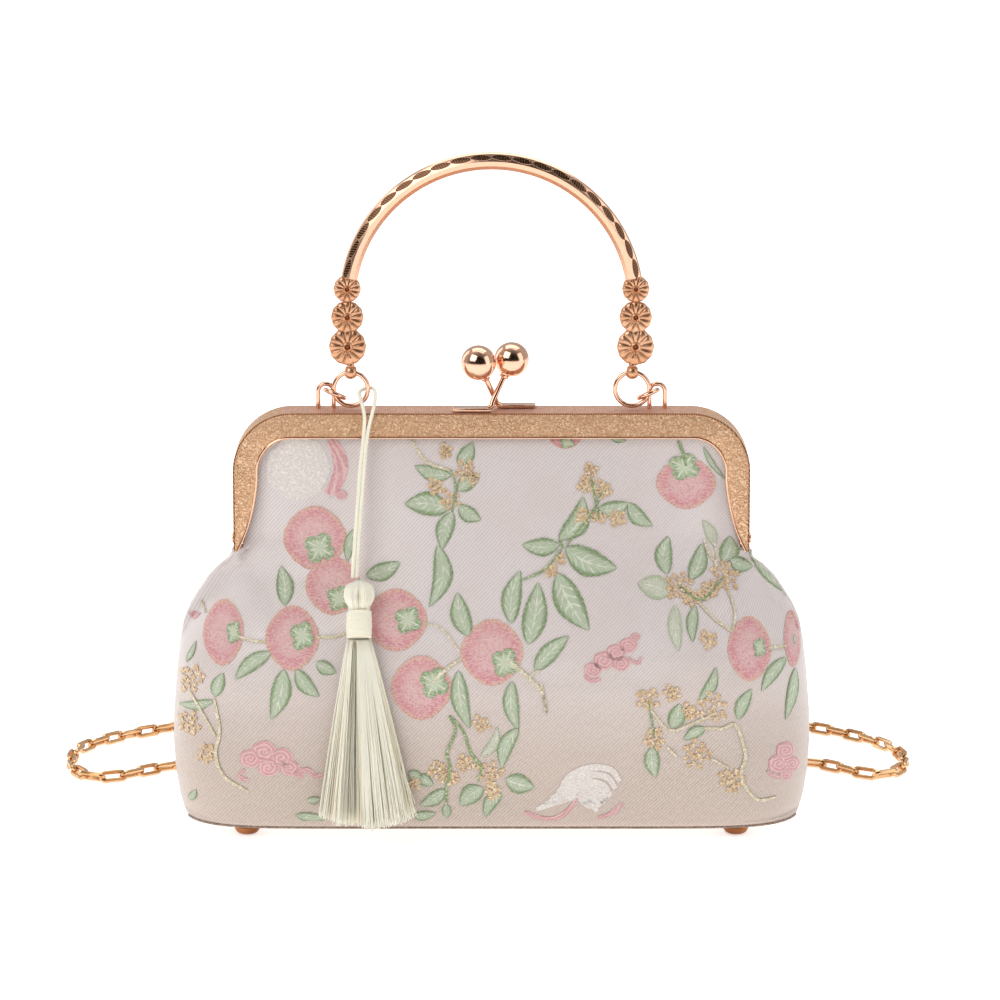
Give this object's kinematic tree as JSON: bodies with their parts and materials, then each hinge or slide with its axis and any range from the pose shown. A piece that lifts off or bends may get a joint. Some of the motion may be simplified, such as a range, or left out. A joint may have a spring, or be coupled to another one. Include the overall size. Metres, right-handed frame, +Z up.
{
  "type": "chinese brocade frame purse",
  "caption": "Brocade purse with a kiss-lock metal frame, an arched swinging handle, a hanging tassel, a shoulder chain and feet to stand on.",
  "frame": {"origin": "on the floor, under the middle of the purse and its chain", "axes": "+X to the viewer's right along the frame, +Y to the back, +Z up"},
  "size_m": [0.3452, 0.1968, 0.263],
  "materials": {
    "brocade": "satin twill ground with woven fruit, leaves and clouds",
    "embossed_gold": "finely embossed rose gold plate",
    "polished_gold": "polished rose gold plate",
    "cast_gold": "cast and polished rose gold plate",
    "chain_gold": "polished light gold plate",
    "foot_bronze": "polished dark bronze",
    "tassel_silk": "glossy ivory silk thread"
  },
  "bodies": {
    "root": {"bag_body": "brocade", "front_jaw": "embossed_gold", "rear_jaw": "embossed_gold", "hinge_rivet_left": "polished_gold", "hinge_rivet_right": "polished_gold", "lock_front": "polished_gold", "lock_rear": "polished_gold", "ring_big_left": "polished_gold", "ring_big_right": "polished_gold", "ring_small_left": "polished_gold", "ring_small_right": "polished_gold", "chain_end_link_left": "chain_gold", "chain_end_link_right": "chain_gold", "shoulder_chain": "chain_gold", "foot_front_left": "foot_bronze", "foot_front_right": "foot_bronze", "foot_rear_left": "foot_bronze", "foot_rear_right": "foot_bronze", "tassel": "tassel_silk", "tassel_wrap": "tassel_silk", "tassel_cord": "tassel_silk"},
    "handle": {"handle_arch": "polished_gold", "handle_terminal_left": "cast_gold", "handle_terminal_right": "cast_gold"}
  },
  "joints": [
    {"name": "handle_swing", "type": "hinge", "parent": "root", "child": "handle", "pos_m": [0.0018, -0.05175, 0.1775], "axis": [1, 0, 0], "range_deg": [-90, 90]}
  ]
}
